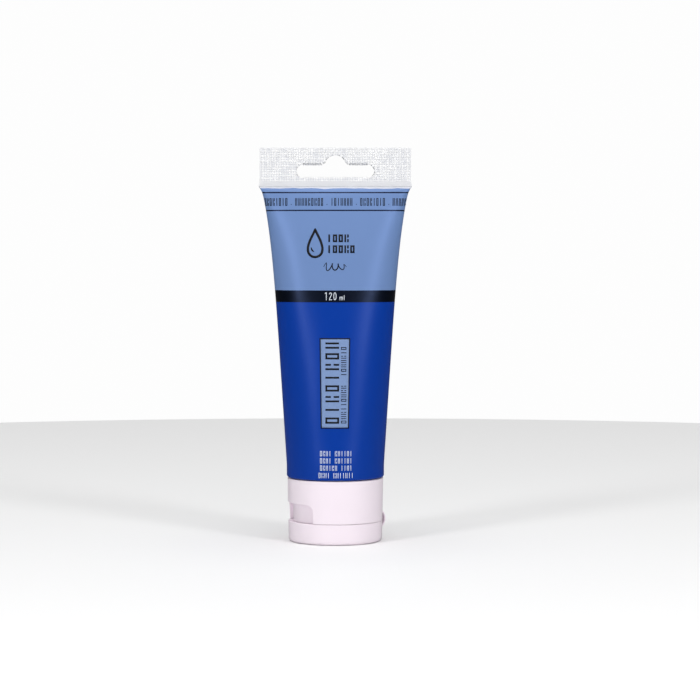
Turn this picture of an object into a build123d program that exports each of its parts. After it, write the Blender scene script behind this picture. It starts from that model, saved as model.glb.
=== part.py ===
"""Soft plastic paint tube with a hanging tab and a screw-on flip-top cap.

The tube stands on its closed lid. Z runs up the tube from the lid's flat face to the hanging tab,
X lies along the flat seal, and the printed front looks along -Y. All sizes are in millimetres.
"""

import os
from math import cos, hypot, pi, sin, sqrt

from build123d import *

# Sleeve: round at the cap, flat at the seal
tube_radius = 20.0
sleeve_wall = 0.5
sleeve_length = 118.7
weld_height = 4.0
lip_radius = 1.0
taper_share = 0.63
flare_power = 8
fullness_power = 1.25
squareness = 0.8
section_shares = (0, 0.12, 0.25, 0.4, 0.55, 0.7, 0.8, 0.88, 0.94, 0.975)

# Sealed end with its hanging slot
seal_height = 16.0
tab_inset = 0.45
ear_height = 2.3
tab_corner = 0.6
slot_width = 32.0
slot_height = 5.8
slot_rise = 6.4
slot_bump_radius = 4.7
slot_bump_rise = 1.9

# Flip-top cap
cap_inset = 0.4
cap_draft = 0.3
cap_wall = 1.2
base_height = 17.4
deck_thickness = 1.6
lid_height = 8.45
lid_plate = 1.5
lid_rim_width = 2.4
lid_rim_height = 1.6
lid_edge_radius = 1.8
split_gap = 0.15
rim_gap = 0.3
seat_ring_height = 1.2
seat_ring_width = 1.0
seat_clearance = 0.3
edge_round = 0.25
split_round = 0.2
rib_count = 6
rib_width = 1.0
rib_height = 4.0

# Spout and plug
orifice_radius = 2.1
spout_wall = 1.5
spout_taper = 0.5
spout_length = 3.6
plug_clearance = 0.35
plug_engagement = 2.2
plug_tip_taper = 0.35

# Hinge, and the thumb recess opposite it
hinge_angle = 25.0
hinge_depth = 1.3
hinge_window = 3.4
film_radius = 0.2
film_clearance = 0.08
film_margin = 0.4
band_half_width = 4.6
band_thickness = 0.6
band_bulge = 1.5
band_landing = 0.6
recess_height = 7.6
recess_half_width = 11.4
recess_depth = 2.0
recess_corner = 2.8

# Neck, shoulder and thread
neck_bore_radius = 6.8
neck_wall = 1.6
shoulder_drop = 3.9
shoulder_wall = 1.2
shoulder_step = 1.0
thread_lead = 3.2
thread_depth = 0.8
thread_clearance = 0.25
thread_turns = 2.0
thread_foot = 1.5
thread_crest = 0.7
thread_inset = 1.2
ring_wall = 1.5

# Seals and filling
washer_thickness = 0.65
washer_bore_radius = 4.0
foil_thickness = 0.15
seal_gap = 0.05
paint_gap = 0.1
paint_share = 0.95

# How far joined features run into each other, how far a cut runs past what it cuts,
# and how near counts as touching
bite = 0.3
overrun = 1.0
touch = 0.05

# Levels along the tube
split_level = lid_height + split_gap / 2
base_bottom = lid_height + split_gap
deck_top = base_bottom + deck_thickness
base_top = base_bottom + base_height
sleeve_bottom = base_top + rim_gap
lip_level = sleeve_bottom + lip_radius
taper_bottom = lip_level + weld_height
seal_level = sleeve_bottom + sleeve_length
washer_bottom = deck_top + seal_gap
foil_bottom = washer_bottom + washer_thickness + seal_gap
neck_tip = foil_bottom + foil_thickness
neck_root = base_top - shoulder_drop
thread_start = neck_tip + thread_inset
ring_top = neck_root - thread_inset
spout_tip = base_bottom - spout_length
plug_top = spout_tip + plug_engagement

# Radii and distances that follow from the sizes above
seal_half_width = pi * tube_radius / 2
tab_half_width = seal_half_width - tab_inset
sleeve_bore = tube_radius - sleeve_wall
lip_edge_radius = tube_radius - lip_radius
weld_bore = sleeve_bore - shoulder_wall
neck_radius = neck_bore_radius + neck_wall
thread_crest_radius = neck_radius + thread_depth
ring_bore_radius = thread_crest_radius + thread_clearance
ring_radius = ring_bore_radius + ring_wall
cap_top_radius = tube_radius - cap_inset
cap_radius = cap_top_radius - cap_draft
cap_bore = cap_radius - cap_wall
lid_bottom_radius = cap_radius - cap_draft / 2
lid_rim_radius = cap_radius - lid_rim_width
seat_ring_radius = lid_rim_radius - seat_clearance
plug_radius = orifice_radius - plug_clearance
spout_radius = orifice_radius + spout_wall
hinge_reach = cap_radius - hinge_depth
flat_half_width = sqrt(cap_radius**2 - hinge_reach**2)
recess_floor_radius = cap_radius - recess_depth


def tube_section(share, inset, points=28):
    """Closed section at a share of the way from round to flat, with a nearly constant girth."""
    level = taper_bottom + share * (seal_level - taper_bottom)
    if share == 0:
        return Pos(0, 0, level) * make_face(Edge.make_circle(tube_radius - inset))
    widening = taper_share * share + (1 - taper_share) * share**flare_power
    half_width = tube_radius + (seal_half_width - tube_radius) * widening - inset
    half_depth = tube_radius * sqrt(1 - share**fullness_power) + sleeve_wall * share - inset
    power = 2 / (2 + squareness * share**2)
    outline = []
    for step in range(points):
        turn = 2 * pi * step / points
        across, along = cos(turn), sin(turn)
        x = half_width * abs(across) ** power * (1 if across > 0 else -1)
        y = half_depth * abs(along) ** power * (1 if along > 0 else -1)
        outline.append((x, y))
    return Pos(0, 0, level) * make_face(Spline(*outline, periodic=True))


def disc(radius, bottom, top):
    """Plain round solid on the tube's axis."""
    return Pos(0, 0, bottom) * Cylinder(radius, top - bottom, align=(Align.CENTER, Align.CENTER, Align.MIN))


def ring(outer_radius, inner_radius, bottom, top):
    return disc(outer_radius, bottom, top) - disc(inner_radius, bottom, top)


def spun(*outline):
    """Solid turned about the tube's axis from pairs of radius and height."""
    return revolve(Plane.XZ * make_face(Polyline(*outline, close=True)), Axis.Z)


def facing(angle):
    """Turns a shape that looks along +X to the given direction round the tube."""
    return Rot(0, 0, angle)


def rounded_rim(body, end, radius):
    """Rounds the widest circular edge at the body's bottom (end 0) or top (end -1)."""
    circles = body.edges().filter_by(GeomType.CIRCLE).group_by(Axis.Z)[end]
    return fillet(circles.sort_by(SortBy.LENGTH)[-1], radius)


def thread_ridge(root_radius, crest_radius, start_angle):
    """Helical ridge that stands on a round wall, outside it or inside it."""
    helix = Helix(pitch=thread_lead, height=thread_lead * thread_turns, radius=root_radius)
    outward = 1 if crest_radius > root_radius else -1
    height = abs(crest_radius - root_radius)
    section = Polyline(
        (-bite, -thread_foot / 2),
        (0, -thread_foot / 2),
        (height, -thread_crest / 2),
        (height, thread_crest / 2),
        (0, thread_foot / 2),
        (-bite, thread_foot / 2),
        close=True,
    )
    start = Plane(origin=helix @ 0, x_dir=(outward, 0, 0), z_dir=helix % 0)
    ridge = sweep(start * make_face(section), path=helix, is_frenet=True)
    return Pos(0, 0, thread_start) * facing(start_angle) * ridge


def taper_body(inset, last_share):
    """Solid of the tapering length of the tube, drawn in by the inset."""
    return loft([tube_section(share, inset) for share in (*section_shares, last_share)])


def taper_cavity(gap, share):
    """Space inside the tapering wall, a gap away from it, up to a share of the length."""
    top = taper_bottom + share * (seal_level - taper_bottom)
    space = loft([tube_section(step, sleeve_wall + gap) for step in section_shares])
    return space & disc(seal_half_width, taper_bottom, top)


def make_hanging_tab():
    """Flat sealed end, with a round-ended slot that has a round bump over its middle."""
    sheet = make_face(
        Polyline(
            (-seal_half_width, 0),
            (-tab_half_width, ear_height),
            (-tab_half_width, seal_height),
            (tab_half_width, seal_height),
            (tab_half_width, ear_height),
            (seal_half_width, 0),
            close=True,
        )
    )
    sheet = fillet(sheet.vertices().group_by(Axis.Y)[-1], tab_corner)
    slot = Pos(0, slot_rise) * SlotOverall(slot_width, slot_height)
    slot += Pos(0, slot_rise + slot_bump_rise) * Circle(slot_bump_radius)
    back = Plane(origin=(0, sleeve_wall, seal_level), x_dir=(1, 0, 0), z_dir=(0, -1, 0))
    return extrude(back * (sheet - slot), amount=2 * sleeve_wall)


def make_sleeve_foot():
    """Round foot of the sleeve, whose lip curls in over the shoulder's corner."""
    bend_radius = lip_radius - sleeve_wall
    lip_top = lip_level - bend_radius
    wall = make_face(
        [
            RadiusArc((lip_edge_radius, sleeve_bottom), (tube_radius, lip_level), -lip_radius),
            Line((tube_radius, lip_level), (tube_radius, taper_bottom)),
            Line((tube_radius, taper_bottom), (sleeve_bore, taper_bottom)),
            Line((sleeve_bore, taper_bottom), (sleeve_bore, lip_level)),
            RadiusArc((sleeve_bore, lip_level), (lip_edge_radius, lip_top), bend_radius),
            Line((lip_edge_radius, lip_top), (lip_edge_radius, sleeve_bottom)),
        ]
    )
    return revolve(Plane.XZ * wall, Axis.Z)


def make_sleeve():
    """Printed soft sleeve: a round foot, the flattening length and the sealed tab."""
    wall = taper_body(0, 1) - taper_cavity(0, section_shares[-1])
    return make_sleeve_foot() + wall + make_hanging_tab()


def make_shoulder():
    """Moulded shoulder and threaded neck, welded inside the sleeve's foot."""
    bend_radius = lip_radius - sleeve_wall
    bend_bottom = lip_level - bend_radius
    weld_top = taper_bottom - seal_gap
    bend = RadiusArc((sleeve_bore, lip_level), (lip_edge_radius, bend_bottom), bend_radius)
    rest = Polyline(
        (lip_edge_radius, bend_bottom),
        (lip_edge_radius, sleeve_bottom),
        (lip_edge_radius - shoulder_step, sleeve_bottom),
        (neck_radius, neck_root),
        (neck_radius, neck_tip),
        (neck_bore_radius, neck_tip),
        (neck_bore_radius, neck_root + shoulder_wall),
        (weld_bore, lip_level + shoulder_wall),
        (weld_bore, weld_top),
        (sleeve_bore, weld_top),
        (sleeve_bore, lip_level),
    )
    body = revolve(Plane.XZ * make_face([bend, rest]), Axis.Z)
    return body + thread_ridge(neck_radius, thread_crest_radius, 0)


def make_paint():
    """Paint that fills the neck and the sleeve up to the empty end below the seal."""
    throat = neck_bore_radius - paint_gap
    belly = weld_bore - paint_gap
    foot = spun(
        (0, neck_tip),
        (throat, neck_tip),
        (throat, neck_root + shoulder_wall + paint_gap),
        (belly, lip_level + shoulder_wall + paint_gap),
        (belly, taper_bottom),
        (0, taper_bottom),
    )
    return foot + taper_cavity(paint_gap, paint_share)


def make_foil():
    """Peel-off membrane on the neck's mouth."""
    return disc(neck_radius, foil_bottom, neck_tip)


def make_washer():
    """Soft sealing ring between the cap's deck and the neck's mouth."""
    return ring(neck_radius, washer_bore_radius, washer_bottom, washer_bottom + washer_thickness)


def hinge_cut():
    """Flat window through both skirts at the hinge, so that the halves can fold together."""
    window = Box(
        hinge_depth + cap_draft + overrun,
        2 * (flat_half_width + overrun),
        2 * hinge_window,
        align=(Align.MIN, Align.CENTER, Align.CENTER),
    )
    return facing(hinge_angle) * Pos(hinge_reach, 0, split_level) * window


def hinge_rod(radius, start, end):
    """Round rod on the hinge's axis, between two distances from the middle of the hinge."""
    rod = Rot(-90, 0, 0) * Cylinder(radius, end - start, align=(Align.CENTER, Align.CENTER, Align.MIN))
    return facing(hinge_angle) * Pos(hinge_reach, start, split_level) * rod


def recess_cut():
    """Thumb recess above the lid's rim, with round upper corners and a floor that follows the cap."""
    height = recess_height + recess_corner + overrun
    reach = cap_radius + cap_draft + overrun
    block = Box(reach, 2 * recess_half_width, height, align=(Align.MIN, Align.CENTER, Align.MAX))
    block = fillet(block.edges().filter_by(Axis.X).group_by(Axis.Z)[-1], recess_corner)
    pocket = Pos(0, 0, base_bottom + recess_height) * block
    core = disc(recess_floor_radius, base_bottom - height, base_top)
    return facing(hinge_angle + 180) * (pocket - core)


def rounded_recess(skirt):
    """Cuts the thumb recess, then rounds its rim and the skirt's bottom edge, which stops at the recess."""
    cut = recess_cut()
    skirt -= cut
    rim = []
    for edge in skirt.edges():
        middle = edge @ 0.5
        if hypot(middle.X, middle.Y) > cap_radius and cut.distance_to(middle) < touch:
            rim.append(edge)
    skirt = fillet(rim, edge_round)
    arcs = skirt.edges().filter_by(GeomType.CIRCLE).group_by(Axis.Z)[0]
    return fillet([arc for arc in arcs if arc.radius > recess_floor_radius + touch], split_round)


def backing(angle, half_width, inner_radius, bottom, top):
    """Thicker stretch of skirt behind a window or a recess."""
    band = ring(cap_radius - cap_wall / 2, inner_radius, bottom, top)
    keep = Box(cap_radius, 2 * half_width, top, align=(Align.MIN, Align.CENTER, Align.MIN))
    return band & (facing(angle) * keep)


def make_cap_base():
    """Screwed half of the cap: skirt, deck, spout, threaded ring and the hinge's film rods."""
    body = spun(
        (0, base_bottom),
        (cap_radius, base_bottom),
        (cap_top_radius, base_top),
        (cap_top_radius - cap_wall, base_top),
        (cap_bore, deck_top),
        (0, deck_top),
    )
    body = rounded_rim(body, -1, edge_round)

    recess_back = (recess_half_width + cap_wall, recess_floor_radius - cap_wall)
    body += backing(hinge_angle + 180, *recess_back, base_bottom, base_bottom + recess_height + cap_wall)
    body = rounded_recess(body)
    hinge_back = (flat_half_width + cap_wall, hinge_reach - 2 * cap_wall)
    body += backing(hinge_angle, *hinge_back, base_bottom, split_level + hinge_window + cap_wall)

    body += disc(ring_radius, base_bottom, ring_top)
    rib = Box(cap_bore + bite, rib_width, rib_height, align=(Align.MIN, Align.CENTER, Align.MIN))
    for index in range(rib_count):
        turn = hinge_angle + (index + 0.5) * 360 / rib_count
        body += facing(turn) * Pos(0, 0, deck_top) * rib
    body -= disc(ring_bore_radius, deck_top, ring_top + overrun)
    body += thread_ridge(ring_bore_radius, neck_radius + thread_clearance, 180)

    seat_bottom = base_bottom - seat_ring_height
    body += ring(seat_ring_radius, seat_ring_radius - seat_ring_width, seat_bottom, base_bottom + bite)
    spout = Cone(spout_radius - spout_taper, spout_radius, spout_length)
    body += Pos(0, 0, spout_tip + spout_length / 2) * spout
    body -= disc(orifice_radius, spout_tip, deck_top)

    body -= recess_cut()  # the ribs stop at the recess's floor
    body -= hinge_cut()
    near, far = band_half_width + film_margin, flat_half_width - film_margin
    return body + hinge_rod(film_radius, near, far) + hinge_rod(film_radius, -far, -near)


def make_lid():
    """Flip-up half of the cap, which is also the foot that the tube stands on."""
    rim_bottom = lid_height - lid_rim_height
    body = spun(
        (0, 0),
        (lid_bottom_radius, 0),
        (cap_radius, lid_height),
        (lid_rim_radius, lid_height),
        (lid_rim_radius, rim_bottom),
        (cap_bore, rim_bottom - (cap_bore - lid_rim_radius)),
        (cap_bore, lid_plate),
        (0, lid_plate),
    )
    body = rounded_rim(body, 0, lid_edge_radius)
    body = rounded_rim(body, -1, edge_round)
    body += spun(
        (0, lid_plate - bite),
        (plug_radius, lid_plate - bite),
        (plug_radius, plug_top - 2 * plug_tip_taper),
        (plug_radius - plug_tip_taper, plug_top),
        (0, plug_top),
    )
    body += backing(hinge_angle, flat_half_width + cap_wall, lid_rim_radius, lid_plate - bite, rim_bottom)
    body -= hinge_cut()
    reach = flat_half_width + overrun
    return body - hinge_rod(film_radius + film_clearance, -reach, reach)


def make_hinge_band():
    """Springy band that bows out over the hinge's window, from the base down to the lid."""
    reach = cap_radius + band_bulge
    half_height = hinge_window + band_landing
    root = sqrt(cap_radius**2 - band_half_width**2) - bite
    outline = make_face(
        [
            ThreePointArc((root, -half_height), (reach, 0), (root, half_height)),
            Line((root, half_height), (root, half_height - band_thickness)),
            ThreePointArc(
                (root, half_height - band_thickness),
                (reach - band_thickness, 0),
                (root, band_thickness - half_height),
            ),
            Line((root, band_thickness - half_height), (root, -half_height)),
        ]
    )
    side = Plane(origin=(0, band_half_width, split_level), x_dir=(1, 0, 0), z_dir=(0, -1, 0))
    band = facing(hinge_angle) * extrude(side * outline, amount=2 * band_half_width)
    walls = spun(
        (0, 0),
        (lid_bottom_radius + film_clearance, 0),
        (cap_radius + film_clearance, split_level),
        (cap_radius, base_bottom),
        (cap_top_radius, base_top),
        (0, base_top),
    )
    return band - walls


nodes = {
    "tube_sleeve": make_sleeve(),
    "tube_shoulder": make_shoulder(),
    "paint_fill": make_paint(),
    "foil_seal": make_foil(),
    "neck_washer": make_washer(),
    "cap_base": make_cap_base(),
    "cap_lid": make_lid(),
    "hinge_band": make_hinge_band(),
}
os.makedirs("parts", exist_ok=True)
for name, shape in nodes.items():
    export_step(shape, f"parts/{name}.step")
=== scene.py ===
import math

import bpy
import numpy as np
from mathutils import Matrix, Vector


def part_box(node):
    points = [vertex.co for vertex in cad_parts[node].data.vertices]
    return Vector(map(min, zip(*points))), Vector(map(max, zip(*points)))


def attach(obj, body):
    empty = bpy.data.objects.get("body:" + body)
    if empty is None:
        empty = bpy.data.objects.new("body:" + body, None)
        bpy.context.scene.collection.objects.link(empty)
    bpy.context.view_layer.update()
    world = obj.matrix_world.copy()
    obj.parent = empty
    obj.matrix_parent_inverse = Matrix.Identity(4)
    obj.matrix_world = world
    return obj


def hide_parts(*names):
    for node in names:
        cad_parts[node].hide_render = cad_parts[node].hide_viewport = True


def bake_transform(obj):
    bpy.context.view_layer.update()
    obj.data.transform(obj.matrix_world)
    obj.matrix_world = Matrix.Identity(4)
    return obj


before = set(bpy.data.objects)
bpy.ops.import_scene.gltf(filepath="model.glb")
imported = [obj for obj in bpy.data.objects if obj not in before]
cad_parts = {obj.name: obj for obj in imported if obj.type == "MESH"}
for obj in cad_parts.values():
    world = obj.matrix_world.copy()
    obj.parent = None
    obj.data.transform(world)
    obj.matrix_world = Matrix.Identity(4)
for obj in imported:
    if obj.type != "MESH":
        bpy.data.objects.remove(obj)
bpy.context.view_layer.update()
mm = 0.001  # shapes are worked out in millimetres and scaled when they become meshes
print("frame loaded:", len(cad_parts), "nodes")


def linearColour(hexText):
    # sRGB hex to linear: below 0.04045 divide by 12.92, above it raise (c + 0.055) / 1.055 to the power 2.4
    channels = np.array([int(hexText[i:i + 2], 16) for i in (1, 3, 5)]) / 255
    linear = np.where(channels <= 0.04045, channels / 12.92, ((channels + 0.055) / 1.055) ** 2.4)
    return (*linear.tolist(), 1.0)


def addNode(tree, kind, settings=None, links=None):
    # adds a node, sets its properties or input values by name or number, and links inputs to other nodes' outputs
    node = tree.nodes.new(kind)
    for name, value in (settings or {}).items():
        if isinstance(name, int) or name in node.inputs:
            node.inputs[name].default_value = value
        else:
            setattr(node, name, value)
    for name, output in (links or {}).items():
        tree.links.new(output, node.inputs[name])
    return node


def newMaterial(name, shaderSettings):
    material = bpy.data.materials.new(name)
    material.use_nodes = True
    tree = material.node_tree
    tree.nodes.clear()
    shader = addNode(tree, "ShaderNodeBsdfPrincipled", shaderSettings)
    addNode(tree, "ShaderNodeOutputMaterial", None, {"Surface": shader.outputs[0]})
    place = addNode(tree, "ShaderNodeTexCoord").outputs["Object"]
    return material, tree, shader, place


def smoothStep(low, high, value):
    # 0 below low, 1 above high, and the cubic 3t^2 - 2t^3 between them
    t = np.clip((value - low) / (high - low), 0, 1)
    return t * t * (3 - 2 * t)


def gridFaces(rows, columns, wrapRows, wrapColumns):
    # quads between neighbouring grid points, numbered row by row, with the last row or column joined to the first
    r = np.arange(rows if wrapRows else rows - 1)[:, None]
    c = np.arange(columns if wrapColumns else columns - 1)[None, :]
    nextRow, nextColumn = (r + 1) % rows, (c + 1) % columns
    corners = [r * columns + c, r * columns + nextColumn, nextRow * columns + nextColumn, nextRow * columns + c]
    return np.stack([np.broadcast_to(k, (len(r), c.shape[1])) for k in corners], -1).reshape(-1, 4)


def flatLoopFaces(loop):
    # closes a loop of points with quads between its first half and its second half
    half = len(loop) // 2
    there, back = loop[:half], loop[:half - 1:-1]
    return np.stack([there[:-1], there[1:], back[1:], back[:-1]], -1)


def tubeFaces(rows, columns):
    # faces of a closed loop carried along a path, with both ends closed
    first = np.arange(columns)
    last = first + (rows - 1) * columns
    return np.concatenate([gridFaces(rows, columns, False, True), flatLoopFaces(first)[:, ::-1], flatLoopFaces(last)])


def makePiece(name, points, faces, body, material):
    # one closed mesh in metres; its faces are turned round if the volume that they enclose comes out negative
    points = np.asarray(points, float).reshape(-1, 3)
    a, b, c, d = (points[faces[:, k]] for k in range(4))
    volume = np.einsum("ij,ij->", a, np.cross(b, c)) + np.einsum("ij,ij->", a, np.cross(c, d))
    if volume < 0:
        faces = faces[:, ::-1]
    mesh = bpy.data.meshes.new(name)
    mesh.from_pydata((points * mm).tolist(), [], faces.tolist())
    mesh.polygons.foreach_set("use_smooth", np.ones(len(faces), bool))
    mesh.materials.append(material)
    piece = bpy.data.objects.new(name, mesh)
    bpy.context.scene.collection.objects.link(piece)
    if body:
        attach(piece, body)
    print(name + ":", len(faces), "faces")
    return piece


inkLift = 0.05  # ink stands this far off the film, and the film is drawn in by as much
sleeveLow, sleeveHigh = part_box("tube_sleeve")
sleeve = {
    "radius": sleeveHigh.y / mm - inkLift,
    "bottom": sleeveLow.z / mm,
    "top": sleeveHigh.z / mm,
    "tabHeight": 16.0,
    "wall": 0.5,
    "lipRadius": 1.0,
    "weldHeight": 4.0,
    "columns": 208,
    "outerRows": 190,
    "innerRows": 40,
    "waveHeight": 0.13,  # how far hands have pushed the soft wall in and out
}
sealLevel = sleeve["top"] - sleeve["tabHeight"]
lipLevel = sleeve["bottom"] + sleeve["lipRadius"]
taperBottom = lipLevel + sleeve["weldHeight"]
sealHalfWidth = sleeve["radius"] * math.pi / 2


def sleeveSection(level):
    # half-width, half-depth and squareness of the section: the width grows from the radius to a quarter turn of it,
    # while the depth falls as the root of 1 - share^1.25 to the thickness of one wall
    share = np.clip((level - taperBottom) / (sealLevel - taperBottom), 0, 1)
    widening = 0.64 * share + 0.26 * share**6 + 0.10 * share**80
    halfWidth = sleeve["radius"] + (sealHalfWidth - sleeve["radius"]) * widening
    halfDepth = sleeve["radius"] * np.sqrt(1 - share**1.25) + sleeve["wall"] * share
    squareness = 2 + 0.8 * share**2 + 8 * share**60
    return halfWidth, halfDepth, squareness


def skinDepth(fraction, level, inset=0.0):
    # distance of the wall from the seal's plane, at a fraction of the half-width: b (1 - |f|^n)^(1/n),
    # less a slow wave that fades out at both ends and at the sides
    halfWidth, halfDepth, squareness = sleeveSection(level)
    bulge = np.clip(1 - np.abs(fraction)**squareness, 0, 1) ** (1 / squareness)
    across = fraction * halfWidth
    wave = np.sin(across / 7.5 + level / 31) * np.sin(level / 17 + 1.1) + 0.6 * np.sin(across / 4.3 - level / 12 + 2)
    fade = smoothStep(taperBottom, taperBottom + 12, level) * smoothStep(sealLevel, sealLevel - 12, level)
    push = sleeve["waveHeight"] * (wave - 1.6) * fade * bulge
    return (halfDepth - inset) * bulge + push


def sleeveRing(level, inset=0.0):
    # closed loop of points round one level: x = a cos t, y = depth with the sign of sin t
    turn = 2 * np.pi * (np.arange(sleeve["columns"]) + 0.5) / sleeve["columns"]
    level = np.asarray(level, float)[:, None]
    fraction = np.broadcast_to(np.cos(turn), (len(level), len(turn)))
    x = fraction * (sleeveSection(level)[0] - inset)
    y = np.sign(np.sin(turn)) * skinDepth(fraction, level, inset)
    return np.stack([x, y, np.broadcast_to(level, x.shape)], -1)


def sleevePoints():
    # the whole wall as one grid: down the inside, round the curled lip, and up the outside to the seal
    wall = sleeve["wall"]
    down = np.linspace(sealLevel - 3.5, lipLevel, sleeve["innerRows"])
    inside = sleeveRing(down, wall)
    roof = inside[:1] * (1, 0.02, 1) + (0, 0, 0.3)  # closes the inside at the fold
    bend = np.radians(np.linspace(0, -90, 7))
    turn = 2 * np.pi * (np.arange(sleeve["columns"]) + 0.5) / sleeve["columns"]
    centreRadius = sleeve["radius"] - sleeve["lipRadius"]

    def lip(radius, angles):
        reach = centreRadius + radius * np.cos(angles)[:, None]
        rise = np.broadcast_to(lipLevel + radius * np.sin(angles)[:, None], (len(angles), len(turn)))
        return np.stack([reach * np.cos(turn), reach * np.sin(turn), rise], -1)

    innerLip = lip(sleeve["lipRadius"] - wall, bend[1:])
    outerLip = lip(sleeve["lipRadius"], bend[::-1])
    share = np.linspace(0, 1, sleeve["outerRows"] + 1)[1:]
    up = lipLevel + (sealLevel - lipLevel) * (1 - (1 - share) ** 1.35)  # rows crowd together towards the seal
    outside = sleeveRing(up)
    collar = sleeveRing([sealLevel]) * (0.995, 0.9, 1) + (0, 0, 0.35)  # tucked inside the tab
    crest = collar * (1, 0.02, 1) + (0, 0, 0.1)
    return np.concatenate([roof, inside, innerLip, outerLip, outside, collar, crest])


printed = {
    "ultramarine": "#00379A",
    "paleBlue": "#6F8BBC",
    "black": "#02040B",
    "bare": "#D6D8DF",
    "printTop": 144.3,
    "bandTop": 102.9,
    "bandBottom": 98.1,
    "ruleLevels": (142.6, 135.3),
    "ruleHeight": 0.55,
}


def printedPolyethylene():
    # coextruded polyethylene tube with a screen-printed, matt-varnished sleeve: deep flat colour under a satin skin,
    # with the faint orange peel of blown film, about 1.5 mm from crest to crest
    material, tree, shader, place = newMaterial("printedPolyethylene", {
        "Roughness": 0.34, "IOR": 1.5, "Specular IOR Level": 0.5, "Specular Tint": linearColour("#A3BCFF"),
    })
    height = addNode(tree, "ShaderNodeSeparateXYZ", None, {0: place}).outputs["Z"]
    wobble = addNode(tree, "ShaderNodeTexNoise", {"Scale": 160, "Detail": 1.0}, {"Vector": place}).outputs["Fac"]
    edge = addNode(tree, "ShaderNodeMath", {"operation": "MULTIPLY_ADD", 1: 0.9 * mm, 2: -0.45 * mm}, {0: wobble})

    def above(level, source=height):
        return addNode(tree, "ShaderNodeMath", {"operation": "GREATER_THAN", 1: level * mm}, {0: source}).outputs[0]

    def mixed(lower, upper, factor):
        links = {0: factor, 6: lower, 7: upper}
        plain = {key: linearColour(value) for key, value in links.items() if isinstance(value, str)}
        joined = {key: value for key, value in links.items() if not isinstance(value, str)}
        settings = {"data_type": "RGBA", **plain}
        return addNode(tree, "ShaderNodeMix", settings, joined).outputs[2]

    colour = mixed(printed["ultramarine"], printed["black"], above(printed["bandBottom"]))
    colour = mixed(colour, printed["paleBlue"], above(printed["bandTop"]))
    for level in printed["ruleLevels"]:
        low = above(level - printed["ruleHeight"] / 2)
        high = above(level + printed["ruleHeight"] / 2)
        rule = addNode(tree, "ShaderNodeMath", {"operation": "SUBTRACT"}, {0: low, 1: high}).outputs[0]
        colour = mixed(colour, printed["black"], rule)
    ragged = addNode(tree, "ShaderNodeMath", {"operation": "ADD"}, {0: height, 1: edge.outputs[0]}).outputs[0]
    colour = mixed(colour, printed["bare"], above(printed["printTop"], ragged))
    tree.links.new(colour, shader.inputs["Base Color"])

    peel = addNode(tree, "ShaderNodeTexNoise", {"Scale": 650, "Detail": 2.0}, {"Vector": place}).outputs["Fac"]
    rough = addNode(tree, "ShaderNodeMapRange", {3: 0.29, 4: 0.39}, {0: peel}).outputs[0]
    tree.links.new(rough, shader.inputs["Roughness"])
    bump = addNode(tree, "ShaderNodeBump", {"Strength": 0.12, "Distance": 0.05 * mm}, {"Height": peel})
    tree.links.new(bump.outputs[0], shader.inputs["Normal"])
    return material


def mouldedPlastic(name, colour, roughness, depth):
    # natural polyethylene or white polypropylene: waxy, a little see-through at thin edges, with a fine spark-eroded
    # grain of about 0.4 mm, drawn as 0.8 mm so that it shows
    material, tree, shader, place = newMaterial(name, {
        "Roughness": roughness, "IOR": 1.49, "Subsurface Weight": depth, "Subsurface Radius": (1.0, 1.0, 1.0),
        "Subsurface Scale": 1.2 * mm,
    })
    cloud = addNode(tree, "ShaderNodeTexNoise", {"Scale": 45, "Detail": 2.0}, {"Vector": place}).outputs["Fac"]
    darker = tuple(0.93 * channel for channel in linearColour(colour)[:3]) + (1.0,)
    tint = addNode(tree, "ShaderNodeMix", {"data_type": "RGBA", 6: linearColour(colour), 7: darker}, {0: cloud})
    tree.links.new(tint.outputs[2], shader.inputs["Base Color"])
    grain = addNode(tree, "ShaderNodeTexNoise", {"Scale": 1200, "Detail": 2.0}, {"Vector": place}).outputs["Fac"]
    rough = addNode(tree, "ShaderNodeMapRange", {3: roughness - 0.05, 4: roughness + 0.07}, {0: grain}).outputs[0]
    tree.links.new(rough, shader.inputs["Roughness"])
    bump = addNode(tree, "ShaderNodeBump", {"Strength": 0.15, "Distance": 0.03 * mm}, {"Height": grain})
    tree.links.new(bump.outputs[0], shader.inputs["Normal"])
    return material


def pressedPolyethylene():
    # natural polyethylene welded between heated jaws: milky and waxy; the tint follows how high each point of the weave
    # stands, paler on the ridges and darker in the grooves where the jaws' teeth pressed it thin, which is painted
    # shade in the weave's hollows
    material, tree, shader, place = newMaterial("pressedPolyethylene", {
        "Roughness": 0.38, "IOR": 1.51, "Subsurface Weight": 0.1, "Subsurface Radius": (1.0, 1.0, 1.0),
        "Subsurface Scale": 1.0 * mm,
    })
    height = addNode(tree, "ShaderNodeAttribute", {"attribute_name": "weave"}).outputs["Fac"]
    # painted shade: the low end of this mix is the darker tint given to the weave's grooves
    tint = addNode(tree, "ShaderNodeMix", {
        "data_type": "RGBA", 6: linearColour("#D3D5DC"), 7: linearColour("#F8F8F8"),
    }, {0: height})
    tree.links.new(tint.outputs[2], shader.inputs["Base Color"])
    rough = addNode(tree, "ShaderNodeMapRange", {3: 0.28, 4: 0.46}, {0: height}).outputs[0]
    tree.links.new(rough, shader.inputs["Roughness"])
    haze = addNode(tree, "ShaderNodeTexNoise", {"Scale": 1500, "Detail": 2.0}, {"Vector": place}).outputs["Fac"]
    bump = addNode(tree, "ShaderNodeBump", {"Strength": 0.15, "Distance": 0.03 * mm}, {"Height": haze})
    tree.links.new(bump.outputs[0], shader.inputs["Normal"])
    return material


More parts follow.
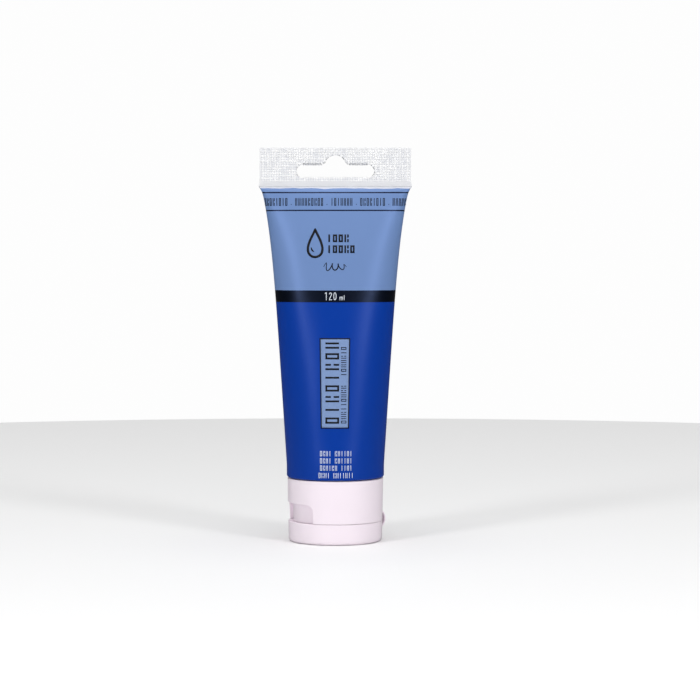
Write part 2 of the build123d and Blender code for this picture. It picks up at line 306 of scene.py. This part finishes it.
def screenInk(name, colour, roughness):
    # screen-printing ink: an opaque layer with a pin-hole grain left by the mesh, 0.3 mm apart, drawn as 0.6 mm
    material, tree, shader, place = newMaterial(name, {
        "Roughness": roughness, "IOR": 1.5, "Specular IOR Level": 0.26,
    })
    mesh = addNode(tree, "ShaderNodeTexVoronoi", {"Scale": 1600}, {"Vector": place}).outputs["Distance"]
    worn = tuple(min(1.0, 0.9 * channel + 0.004) for channel in linearColour(colour)[:3]) + (1.0,)
    tint = addNode(tree, "ShaderNodeMix", {"data_type": "RGBA", 6: linearColour(colour), 7: worn}, {0: mesh})
    tree.links.new(tint.outputs[2], shader.inputs["Base Color"])
    bump = addNode(tree, "ShaderNodeBump", {"Strength": 0.1, "Distance": 0.02 * mm}, {"Height": mesh})
    tree.links.new(bump.outputs[0], shader.inputs["Normal"])
    return material


def rolledFoil():
    # rolled aluminium foil, heat-sealed: bright metal with fine rolling lines 0.2 mm apart, all one way
    material, tree, shader, place = newMaterial("rolledAluminiumFoil", {
        "Base Color": linearColour("#CFD1D3"), "Metallic": 1.0, "Roughness": 0.28,
    })
    stretched = addNode(tree, "ShaderNodeMapping", {"Scale": (5000, 150, 150)}, {"Vector": place}).outputs[0]
    lines = addNode(tree, "ShaderNodeTexNoise", {"Scale": 1.0, "Detail": 2.0}, {"Vector": stretched}).outputs["Fac"]
    rough = addNode(tree, "ShaderNodeMapRange", {3: 0.2, 4: 0.38}, {0: lines}).outputs[0]
    tree.links.new(rough, shader.inputs["Roughness"])
    bump = addNode(tree, "ShaderNodeBump", {"Strength": 0.2, "Distance": 0.01 * mm}, {"Height": lines})
    tree.links.new(bump.outputs[0], shader.inputs["Normal"])
    return material


def foamedPolyethylene():
    # expanded polyethylene wad: dull, off-white, with closed cells about 0.5 mm across
    material, tree, shader, place = newMaterial("foamedPolyethylene", {"Roughness": 0.75, "IOR": 1.5})
    cells = addNode(tree, "ShaderNodeTexVoronoi", {"Scale": 2000}, {"Vector": place}).outputs["Distance"]
    tint = addNode(tree, "ShaderNodeMix", {
        "data_type": "RGBA", 6: linearColour("#EDEAE2"), 7: linearColour("#D9D5CA"),
    }, {0: cells})
    tree.links.new(tint.outputs[2], shader.inputs["Base Color"])
    bump = addNode(tree, "ShaderNodeBump", {"Strength": 0.5, "Distance": 0.1 * mm}, {"Height": cells})
    tree.links.new(bump.outputs[0], shader.inputs["Normal"])
    return material


def wetAcrylic():
    # thick ultramarine acrylic paint: glossy and wet, with soft ridges about 3 mm apart where it was filled in
    material, tree, shader, place = newMaterial("wetAcrylicPaint", {
        "Roughness": 0.18, "IOR": 1.47, "Coat Weight": 0.4, "Coat Roughness": 0.08,
    })
    folds = addNode(tree, "ShaderNodeTexNoise", {"Scale": 330, "Detail": 1.0}, {"Vector": place}).outputs["Fac"]
    tint = addNode(tree, "ShaderNodeMix", {
        "data_type": "RGBA", 6: linearColour("#0A1E7E"), 7: linearColour("#142C9C"),
    }, {0: folds})
    tree.links.new(tint.outputs[2], shader.inputs["Base Color"])
    bump = addNode(tree, "ShaderNodeBump", {"Strength": 0.4, "Distance": 0.3 * mm}, {"Height": folds})
    tree.links.new(bump.outputs[0], shader.inputs["Normal"])
    return material


sleevePrint = printedPolyethylene()
tabPlastic = pressedPolyethylene()
capPlastic = mouldedPlastic("whitePolypropylene", "#FCF0F9", 0.36, 0.12)
blackInk = screenInk("blackScreenInk", "#03060F", 0.5)
paleInk = screenInk("paleBlueScreenInk", "#7E97C4", 0.45)
whiteInk = screenInk("whiteScreenInk", "#E4ECF8", 0.45)
print("materials ready")

points = sleevePoints()
sleeveWall = makePiece("sleeve_wall", points, tubeFaces(*points.shape[:2]), "tube", sleevePrint)
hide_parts("tube_sleeve")


tab = {
    "halfWidth": sealHalfWidth - 0.45,
    "earHeight": 2.3,
    "cornerRadius": 0.6,
    "thickness": 1.0,
    "step": 0.2,
    "slotWidth": 32.0,
    "slotHeight": 5.8,
    "slotRise": 6.4,
    "bumpRadius": 4.7,
    "bumpRise": 1.9,
    "slotBlend": 1.2,
    "plainStrip": 2.0,  # smooth strip over the print, below the pressed weave
    "threadPitch": 1.0,
    "weaveHeight": 0.2,
    "plainEdge": (0.25, 0.55),  # the weave runs out between these distances from the tab's cut edges
}


def slotDistance(x, z):
    # distance outside the hanging slot: a round-ended bar and a disc, joined with a soft hollow
    rise = z - sealLevel - tab["slotRise"]
    halfHeight = tab["slotHeight"] / 2
    bar = np.hypot(np.maximum(np.abs(x) - tab["slotWidth"] / 2 + halfHeight, 0), rise) - halfHeight
    disc = np.hypot(x, rise - tab["bumpRise"]) - tab["bumpRadius"]
    mix = np.maximum(tab["slotBlend"] - np.abs(bar - disc), 0) / tab["slotBlend"]
    return np.where(rise > 0, np.minimum(bar, disc) - mix**2 * tab["slotBlend"] / 4, bar)


def pressedWeave(x, z):
    # linen weave that the heated jaws press into the seal: ridges cos^2 across and along, each thread with
    # its own strength, swapped over and under like a plain weave, and run out at the cut edges
    pitch = tab["threadPitch"]
    draw = np.random.default_rng(11)
    strength = draw.uniform(0.35, 1.0, (2, 80, 40))

    def threads(across, along, table):
        index = np.floor(across / pitch).astype(int) + 40
        part = along / (3 * pitch) + 20 + table[index % 80, 0] * 7
        low = np.floor(part).astype(int)
        share = part - low
        power = table[index % 80, low % 40] * (1 - share) + table[index % 80, (low + 1) % 40] * share
        return power * np.cos(np.pi * (across / pitch - np.floor(across / pitch) - 0.5)) ** 2

    upright, level = threads(x, z, strength[0]), threads(z, x, strength[1])
    over = np.sign(np.sin(np.pi * x / pitch) * np.sin(np.pi * z / pitch))
    weave = upright * (0.75 + 0.25 * over) + level * (0.75 - 0.25 * over)
    stripTop = sealLevel + tab["plainStrip"]
    edge = np.minimum(sleeve["top"] - z, tab["halfWidth"] - np.abs(x))
    fade = smoothStep(stripTop, stripTop + 0.8, z) * smoothStep(*tab["plainEdge"], edge)
    return np.where(fade > 0, (weave - 0.5) * fade, 0)


def tabSheet():
    # middle sheet of the tab on a grid across and up: points near the slot slide down the distance's slope until they
    # lie on its outline, and the squares inside it are left out
    columns = int(2 * tab["halfWidth"] / tab["step"])
    rows = int(sleeve["tabHeight"] / tab["step"])
    across = np.linspace(-1, 1, columns + 1)[None, :]
    z = sealLevel + np.linspace(0, sleeve["tabHeight"], rows + 1)[:, None]
    ear = (sealHalfWidth - tab["halfWidth"]) * smoothStep(sealLevel + tab["earHeight"], sealLevel + 0.4, z)
    corner = tab["cornerRadius"]
    into = np.clip(z - (sleeve["top"] - corner), 0, corner)
    x = across * (tab["halfWidth"] + ear - corner + np.sqrt(corner**2 - into**2))
    z = np.broadcast_to(z, x.shape).copy()
    for _ in range(3):
        distance = slotDistance(x, z)
        slopeX = (slotDistance(x + 0.01, z) - distance) / 0.01
        slopeZ = (slotDistance(x, z + 0.01) - distance) / 0.01
        near = np.abs(distance) < 0.55 * tab["step"]
        x = x - np.where(near, distance * slopeX, 0)
        z = z - np.where(near, distance * slopeZ, 0)
    inside = (slotDistance(x, z) < -0.3 * tab["step"]).ravel()
    quads = gridFaces(rows + 1, columns + 1, False, False)
    lost = inside[quads].sum(1)
    cut = quads[lost == 1]  # a square with one corner in the slot keeps its other three as a triangle
    first = np.argmax(inside[cut], axis=1)
    triangles = np.stack([cut[np.arange(len(cut)), (first + k) % 4] for k in (1, 2, 3)], -1)
    quads = quads[lost == 0]
    weave = pressedWeave(x, z)
    points = np.stack([x, -tab["weaveHeight"] * weave, z], -1).reshape(-1, 3)
    used = np.unique(np.concatenate([quads.ravel(), triangles.ravel()]))
    number = np.zeros(len(points), int)
    number[used] = np.arange(len(used))
    return points[used], number[quads], number[triangles], weave.ravel()[used]


def hangingTab():
    points, quads, triangles, weave = tabSheet()
    mesh = bpy.data.meshes.new("hanging_tab")
    mesh.from_pydata((points * mm).tolist(), [], quads.tolist() + triangles.tolist())
    # tint factor from the weave's height: the lower grooves get the darker tint, painted shade
    tint = np.clip(0.5 + 1.1 * weave, 0, 1).astype(np.float32)
    mesh.attributes.new("weave", "FLOAT", "POINT").data.foreach_set("value", tint)
    mesh.polygons.foreach_set("use_smooth", np.ones(len(mesh.polygons), bool))
    mesh.materials.append(tabPlastic)
    piece = bpy.data.objects.new("hanging_tab", mesh)
    bpy.context.scene.collection.objects.link(piece)
    thickness = piece.modifiers.new("thickness", "SOLIDIFY")
    thickness.thickness = tab["thickness"] * mm
    thickness.offset = 0
    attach(piece, "tube")
    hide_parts("tube_sleeve")
    print("hanging_tab:", len(mesh.polygons), "faces before its thickness")


hangingTab()


def onSkin(around, level, side):
    # place on the film: walks round the section from its middle until the arc is as long as the distance asked for
    turn = np.linspace(0, np.pi / 2, 161)
    fraction = np.sign(around)[:, None] * np.sin(turn) * -side
    x = fraction * sleeveSection(level[:, None])[0]
    y = skinDepth(fraction, level[:, None])
    walked = np.cumsum(np.hypot(np.diff(x), np.diff(y)), axis=1)
    walked = np.concatenate([np.zeros((len(x), 1)), walked], 1)
    after = np.clip((walked < np.abs(around)[:, None]).sum(1), 1, len(turn) - 1)
    row = np.arange(len(x))
    start = walked[row, after - 1]
    part = (np.abs(around) - start) / (walked[row, after] - start)
    reached = np.sin(turn[after - 1] + part * (turn[1] - turn[0])) * np.sign(around) * -side
    return np.stack([reached * sleeveSection(level)[0], side * skinDepth(reached, level), level], -1)


def offSkin(around, level, side, lift):
    # the same place, lifted along the normal, which is the cross product of the skin's two slopes
    step = 0.05
    place = onSkin(around, level, side)
    normal = np.cross(onSkin(around + step, level, side) - place, onSkin(around, level + step, side) - place)
    normal /= np.linalg.norm(normal, axis=1)[:, None]
    return place + normal * lift[:, None]


def inkStroke(path, width, columns=2, closed=False, lift=inkLift):
    # flat ribbon along a path of (around, level) points: its width lies across the path's slope, its top is lifted
    # and its bottom is sunk into the film
    path = np.asarray(path, float)
    if closed:
        slope = np.roll(path, -1, 0) - np.roll(path, 1, 0)
    else:
        slope = np.gradient(path, axis=0)
    slope /= np.linalg.norm(slope, axis=1)[:, None]
    across = np.stack([-slope[:, 1], slope[:, 0]], -1)
    reach = np.linspace(-0.5, 0.5, columns)[None, :, None] * np.broadcast_to(width, len(path))[:, None, None]
    top = path[:, None] + across[:, None] * reach
    loop = np.concatenate([top, top[:, ::-1]], 1)
    height = np.broadcast_to(np.repeat([lift, -0.1], columns)[None, :, None], (*loop.shape[:2], 1))
    faces = gridFaces(*loop.shape[:2], True, True) if closed else tubeFaces(*loop.shape[:2])
    return np.concatenate([loop, height], -1).reshape(-1, 3), faces


def straight(start, end, step=1.0):
    # points along a straight run, close enough together to bend with the film
    count = max(2, int(math.dist(start, end) / step) + 1)
    return np.linspace(start, end, count)


def printInk(name, strokes, side, ink):
    flat = np.concatenate([stroke[0] for stroke in strokes])
    starts = np.cumsum([0] + [len(stroke[0]) for stroke in strokes[:-1]])
    faces = np.concatenate([stroke[1] + start for stroke, start in zip(strokes, starts)])
    points = offSkin(flat[:, 0], flat[:, 1], side, flat[:, 2])
    makePiece(name, points, faces, "tube", ink)


def blockMark(kind, width, height, pen):
    # plain block marks, as pairs of end points in a box of the given width and height
    left, right, middle = pen / 2, width - pen / 2, width / 2
    low, high = pen, height - pen
    if kind == "bar":
        return [((middle, 0), (middle, height))]
    if kind == "twin":
        return [((left, 0), (left, height)), ((right, 0), (right, height))]
    if kind == "split":
        return [((left, 0), (left, height)), ((right, 0), (right, 0.4 * height)), ((right, 0.6 * height), (right, height))]
    if kind == "dot":
        return [((middle, middle), (middle, middle + pen))]
    sides = [((left, 0), (left, height)), ((right, 0), (right, height))]
    return sides + [((pen, low - pen / 2), (width - pen, low - pen / 2)), ((pen, high + pen / 2), (width - pen, high + pen / 2))]


def markRow(row, origin, upward=False):
    # groups of block marks at an even pitch; an upward row is turned a quarter, so that it reads from below
    strokes, start, count = [], 0.0, 0
    for group in row["groups"]:
        marks = [(row["kinds"][(3 * (count + k) + (count + k) // 4) % len(row["kinds"])], k) for k in range(group)]
        if row.get("dots"):
            marks.append(("dot", group - 0.5 + 0.5 * row["gap"] / row["pitch"]))
        for kind, place in marks:
            for ends in blockMark(kind, row["width"], row["height"], row["pen"]):
                ends = np.array(ends) + (start + place * row["pitch"], 0)
                if upward:
                    ends = np.stack([-ends[:, 1], ends[:, 0]], -1)
                strokes.append(inkStroke(straight(*(ends + origin)), row["pen"]))
        count += group
        start += group * row["pitch"] + row["gap"]
    return strokes


fullRow = {
    "groups": (8, 9, 7, 8, 5), "kinds": ("frame", "bar", "twin", "split", "frame", "twin"), "pitch": 1.31, "gap": 2.75,
    "width": 0.82, "height": 3.1, "pen": 0.29, "dots": True, "start": -29.5, "level": 137.2,
}
for side, face in ((-1, "front"), (1, "back")):
    printInk(f"name_row_{face}", markRow(fullRow, (fullRow["start"], fullRow["level"])), side, blackInk)


def evenPath(count, formula):
    # points of a path given as a function of a share from 0 to 1
    share = np.linspace(0, 1, count)
    return np.stack(np.broadcast_arrays(*formula(share)), -1)


def dropOutline(centre, halfWidth, halfHeight, count=64):
    # pointed drop: across = a sin t |sin(t/2)|^1.5, up = b cos t
    turn = 2 * np.pi * np.arange(count) / count
    x = halfWidth * np.sin(turn) * np.abs(np.sin(turn / 2)) ** 1.5 * 1.2
    return np.stack([centre[0] + x, centre[1] + halfHeight * np.cos(turn)], -1)


emblem = {"centre": (-8.1, 122.0), "halfWidth": 3.5, "halfHeight": 5.6, "pen": 0.95}
titleRow = {"kinds": ("bar", "frame", "twin", "frame", "split"), "pitch": 2.35, "gap": 0, "width": 1.75, "height": 3.1,
            "pen": 0.66}
strokes = [inkStroke(dropOutline(emblem["centre"], emblem["halfWidth"], emblem["halfHeight"]), emblem["pen"], closed=True)]
gleam = evenPath(12, lambda s: (-8.1 - 1.6 * np.sin(0.3 + 1.2 * s), 120.4 - 1.9 * np.cos(0.3 + 1.2 * s)))
strokes.append(inkStroke(gleam, 0.6 * np.sin(np.linspace(0.5, 2.64, 12))))
strokes += markRow({**titleRow, "groups": (4,)}, (-3.3, 122.4))
strokes += markRow({**titleRow, "groups": (5,)}, (-3.3, 118.0))
printInk("emblem", strokes, -1, blackInk)

brush = evenPath(90, lambda s: (-4.7 + 9.4 * s + 0.5 * np.sin(25 * s), 112.4 + 1.7 * np.sin(22 * s) * (1 - 0.45 * s)))
printInk("brush_flourish", [inkStroke(brush, 0.34 * (0.35 + np.sin(np.linspace(0.15, 3.0, 90))))], -1, blackInk)

volume = {"left": -4.3, "base": 99.0, "height": 3.1, "digitWidth": 1.25, "pitch": 1.8, "pen": 0.29}


def volumeDigits():
    # 120, then ml: each digit is a run of strokes in a box of its own
    x, z, high, wide, pen = (volume[key] for key in ("left", "base", "height", "digitWidth", "pen"))
    second, third = x + volume["pitch"], x + 2 * volume["pitch"]
    one = [straight((x + 0.75, z), (x + 0.75, z + high)), straight((x + 0.2, z + high - 0.55), (x + 0.6, z + high - 0.1))]
    bow = evenPath(14, lambda s: (
        second + wide / 2 - 0.45 * np.cos(np.pi * s) * np.where(s < 0.99, 1, 1), z + high - 0.8 + 0.62 * np.sin(np.pi * s)))
    two = [np.concatenate([bow, straight((second + wide - 0.22, z + high - 0.95), (second + 0.2, z + 0.42), 0.4)])]
    two.append(straight((second + 0.02, z + pen / 2), (second + wide, z + pen / 2)))
    ring = 2 * np.pi * np.arange(28) / 28
    across = np.sign(np.cos(ring)) * np.abs(np.cos(ring)) ** 0.8
    zero = np.stack([third + wide / 2 + (wide - pen) / 2 * across, z + high / 2 + (high - pen) / 2 * np.sin(ring)], -1)
    strokes = [inkStroke(path, pen) for path in one + two]
    strokes.append(inkStroke(zero, pen, closed=True))
    unit = third + wide + 1.35
    for place, rise in ((0, 1.25), (0.55, 1.25), (1.1, 1.25), (1.75, 1.95)):
        strokes.append(inkStroke(straight((unit + place, z), (unit + place, z + rise)), 0.24))
    strokes.append(inkStroke(straight((unit, z + 1.25), (unit + 1.1, z + 1.25), 0.3), 0.24))
    return strokes


printInk("volume_mark", volumeDigits(), -1, whiteInk)

label = {"left": -6.1, "right": 5.9, "bottom": 47.6, "top": 83.5, "narrowing": 0.5, "outline": 0.45}
largeRow = {"groups": (8,), "kinds": ("frame", "split", "twin", "bar", "frame"), "pitch": 4.3, "gap": 0, "width": 2.5,
            "height": 5.5, "pen": 0.75}
smallRow = {"groups": (9, 7), "kinds": ("frame", "bar", "split", "twin"), "pitch": 1.75, "gap": 3.3, "width": 1.1,
            "height": 2.15, "pen": 0.3}


def labelOutline():
    left, right, bottom, top = (label[key] for key in ("left", "right", "bottom", "top"))
    half, inset = label["outline"] / 2, label["narrowing"]
    posts = [((left + inset, bottom - half), (left, top + half)), ((right - inset, bottom - half), (right, top + half))]
    beams = [((left + inset + half, bottom), (right - inset - half, bottom)), ((left + half, top), (right - half, top))]
    return [inkStroke(straight(*ends), label["outline"]) for ends in posts + beams]


def labelPanel():
    # the fill inside the outline, a little narrower at the bottom
    middle = (label["left"] + label["right"]) / 2
    path = straight((middle, label["bottom"]), (middle, label["top"]))
    wide = label["right"] - label["left"]
    return inkStroke(path, np.linspace(wide - 2 * label["narrowing"], wide, len(path)), columns=13, lift=0.4 * inkLift)


printInk("label_panel", [labelPanel()], -1, paleInk)
strokes = labelOutline()
strokes += markRow(largeRow, (1.6, label["bottom"] + 1.8), upward=True)
strokes += markRow(smallRow, (4.55, label["bottom"] + 1.9), upward=True)
printInk("label_marks", strokes, -1, blackInk)

colourRow = {"kinds": ("frame", "twin", "bar", "split", "bar"), "pitch": 1.22, "gap": 1.2, "width": 0.78, "height": 2.1,
             "pen": 0.22, "middle": 0.35}
strokes = []
for level, groups in ((36.3, (4, 6)), (33.4, (4, 6)), (30.5, (6, 4)), (27.5, (4, 7))):
    width = sum(groups) * colourRow["pitch"] + colourRow["gap"] - (colourRow["pitch"] - colourRow["width"])
    strokes += markRow({**colourRow, "groups": groups}, (colourRow["middle"] - width / 2, level))
printInk("colour_rows", strokes, -1, whiteInk)

back = {"halfWidth": 13.0, "lineTop": 90.0, "linePitch": 2.0, "lines": 13, "lineHeight": 0.55,
        "panelBottom": 40.0, "panelTop": 54.0, "panelHalfWidth": 11.0, "stripes": 34}


def backLines():
    # lines of small dashes of uneven length, in white
    draw = np.random.default_rng(4)
    strokes = []
    for line in range(back["lines"]):
        level = back["lineTop"] - line * back["linePitch"]
        x = -back["halfWidth"]
        end = back["halfWidth"] - (9.0 if line % 5 == 4 else draw.uniform(0, 2.5))
        while x < end - 1.5:
            dash = min(draw.uniform(1.2, 4.6), end - x)
            strokes.append(inkStroke(straight((x, level), (x + dash, level)), back["lineHeight"]))
            x += dash + 0.75
    return strokes


def backStripes():
    # plain upright stripes of uneven width on a white panel
    draw = np.random.default_rng(9)
    edges = np.cumsum(draw.choice([0.3, 0.3, 0.6, 0.9], 2 * back["stripes"]))
    edges = (edges - edges[0]) / (edges[-1] - edges[0]) * 2 * (back["panelHalfWidth"] - 1.5) - (back["panelHalfWidth"] - 1.5)
    low, high = back["panelBottom"] + 1.2, back["panelTop"] - 1.2
    return [inkStroke(straight(((a + b) / 2, low), ((a + b) / 2, high)), b - a) for a, b in zip(edges[::2], edges[1::2])]


printInk("back_lines", backLines(), 1, whiteInk)
panel = inkStroke(
    straight((0, back["panelBottom"]), (0, back["panelTop"])), 2 * back["panelHalfWidth"], columns=23, lift=0.4 * inkLift)
printInk("back_panel", [panel], 1, whiteInk)
printInk("back_stripes", backStripes(), 1, blackInk)
drop = dropOutline((0, 120.5), 4.4, 7.0)
printInk("back_emblem", [inkStroke(drop, 1.0, closed=True)], 1, blackInk)


baseHigh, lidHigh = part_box("cap_base")[1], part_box("cap_lid")[1]
band = {
    "facing": 25.0,
    "capRadius": baseHigh.x / mm - 0.3,
    "bulge": 1.5,
    "halfHeight": 4.0,
    "halfWidth": 4.6,
    "thickness": 0.6,
    "edge": 0.22,
    "level": lidHigh.z / mm + 0.075,
}


def hingeBand():
    # bowed strip: its edge-rounded cross-section is carried along an arc of a circle through both landings
    # and the top of the bow, and each end is sunk a little into the cap's wall
    wall = math.sqrt(band["capRadius"] ** 2 - band["halfWidth"] ** 2) - 0.15
    rise = band["capRadius"] + band["bulge"] - wall
    radius = (band["halfHeight"] ** 2 + rise**2) / (2 * rise)
    reach = math.asin(band["halfHeight"] / radius)
    turn = np.linspace(-reach, reach, 41)
    corner = np.linspace(0, 2 * np.pi, 48, endpoint=False)
    edge, half = band["edge"], band["thickness"] / 2
    across = (band["halfWidth"] - edge) * np.clip(np.cos(corner) * 3, -1, 1) + edge * np.cos(corner)
    through = (half - edge) * np.clip(np.sin(corner) * 3, -1, 1) + edge * np.sin(corner) - half
    distance = radius + through[None, :]
    x = wall + rise - radius + distance * np.cos(turn)[:, None]
    z = distance * np.sin(turn)[:, None] + band["level"]
    y = np.broadcast_to(across, x.shape)
    angle = math.radians(band["facing"])
    points = np.stack([x * math.cos(angle) - y * math.sin(angle), x * math.sin(angle) + y * math.cos(angle), z], -1)
    piece = makePiece("hinge_strip", points, tubeFaces(*points.shape[:2]), None, capPlastic)
    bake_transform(piece)
    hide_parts("hinge_band")


hingeBand()

carried = {
    "cap_base": capPlastic,
    "cap_lid": capPlastic,
    "tube_shoulder": capPlastic,
    "foil_seal": rolledFoil(),
    "neck_washer": foamedPolyethylene(),
    "paint_fill": wetAcrylic(),
}
for node, material in carried.items():
    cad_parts[node].data.materials.clear()
    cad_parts[node].data.materials.append(material)
print("finishes set on", len(carried), "nodes")


def paleFloor(radius=0.7):
    # round table top: a disc about the tube
    turn = np.linspace(0, 2 * np.pi, 96, endpoint=False)
    rim = np.stack([radius * np.cos(turn), radius * np.sin(turn), np.zeros(len(turn))], -1)
    mesh = bpy.data.meshes.new("pale_floor")
    mesh.from_pydata(rim.tolist(), [], [list(range(len(turn)))])
    # matt laminate, pale where it is seen; rays reflected off the tube's gloss see it dark grey instead, a painted dark
    # reflection standing in for the black cards beside a set
    material, tree, shader, place = newMaterial("paleLaminateDarkInReflections", {"Roughness": 0.7})
    mirrored = addNode(tree, "ShaderNodeLightPath").outputs["Is Glossy Ray"]
    # painted reflection: glossy rays get the dark grey, all other rays the pale floor colour
    tint = addNode(tree, "ShaderNodeMix", {
        "data_type": "RGBA", 6: linearColour("#F6F6F6"), 7: linearColour("#4A4A4C"),
    }, {0: mirrored})
    tree.links.new(tint.outputs[2], shader.inputs["Base Color"])
    mesh.materials.append(material)
    floor = bpy.data.objects.new("pale_floor", mesh)
    bpy.context.scene.collection.objects.link(floor)


def addLight(name, kind, place, target, **settings):
    light = bpy.data.lights.new(name, kind)
    for key, value in settings.items():
        setattr(light, key, value)
    lamp = bpy.data.objects.new(name, light)
    lamp.location = place
    lamp.rotation_euler = (Vector(target) - Vector(place)).to_track_quat("-Z", "Y").to_euler()
    bpy.context.scene.collection.objects.link(lamp)


studio = {
    "sidePlace": (0.70, -0.86, 0.55),
    "sideSize": (0.22, 0.8),
    "sidePower": 4.6,
    "frontPlace": (0.12, -1.1, 0.95),
    "frontPower": 1.8,
    "overStrength": 2.2,
    "overSpread": 60.0,
    "airStrength": 0.06,
    "backdrop": 0.985,
}

paleFloor()
middlePlace = (0, 0, 0.09)
for name, hand in (("left_box", -1), ("right_box", 1)):
    x, y, z = studio["sidePlace"]
    addLight(name, "AREA", (hand * x, y, z), middlePlace, shape="RECTANGLE", size=studio["sideSize"][0],
             size_y=studio["sideSize"][1], energy=studio["sidePower"])
addLight("front_box", "AREA", studio["frontPlace"], middlePlace, shape="RECTANGLE", size=0.9, size_y=0.6,
         energy=studio["frontPower"])
addLight("over", "SUN", (0, 0, 2), (0, 0, 0), energy=studio["overStrength"], angle=math.radians(studio["overSpread"]))

world = bpy.data.worlds.new("studio_air")
world.use_nodes = True
air = world.node_tree.nodes["Background"]
air.inputs[0].default_value = (1, 1, 1, 1)
seen = addNode(world.node_tree, "ShaderNodeLightPath").outputs["Is Camera Ray"]
glow = addNode(world.node_tree, "ShaderNodeMapRange", {3: studio["airStrength"], 4: studio["backdrop"]}, {0: seen})
world.node_tree.links.new(glow.outputs[0], air.inputs[1])
bpy.context.scene.world = world
bpy.context.scene.view_settings.view_transform = "Standard"

view = {"side": 0.006, "distance": 0.93, "height": 0.117, "aimHeight": 0.0783, "lens": 116.8}
camera = bpy.data.objects.new("camera", bpy.data.cameras.new("camera"))
camera.data.lens = view["lens"]
camera.data.sensor_width = 36.0
camera.location = (view["side"], -view["distance"], view["height"])
aim = Vector((view["side"], 0, view["aimHeight"])) - camera.location
camera.rotation_euler = aim.to_track_quat("-Z", "Y").to_euler()
bpy.context.scene.collection.objects.link(camera)
bpy.context.scene.camera = camera
print("stage, lights and camera ready")
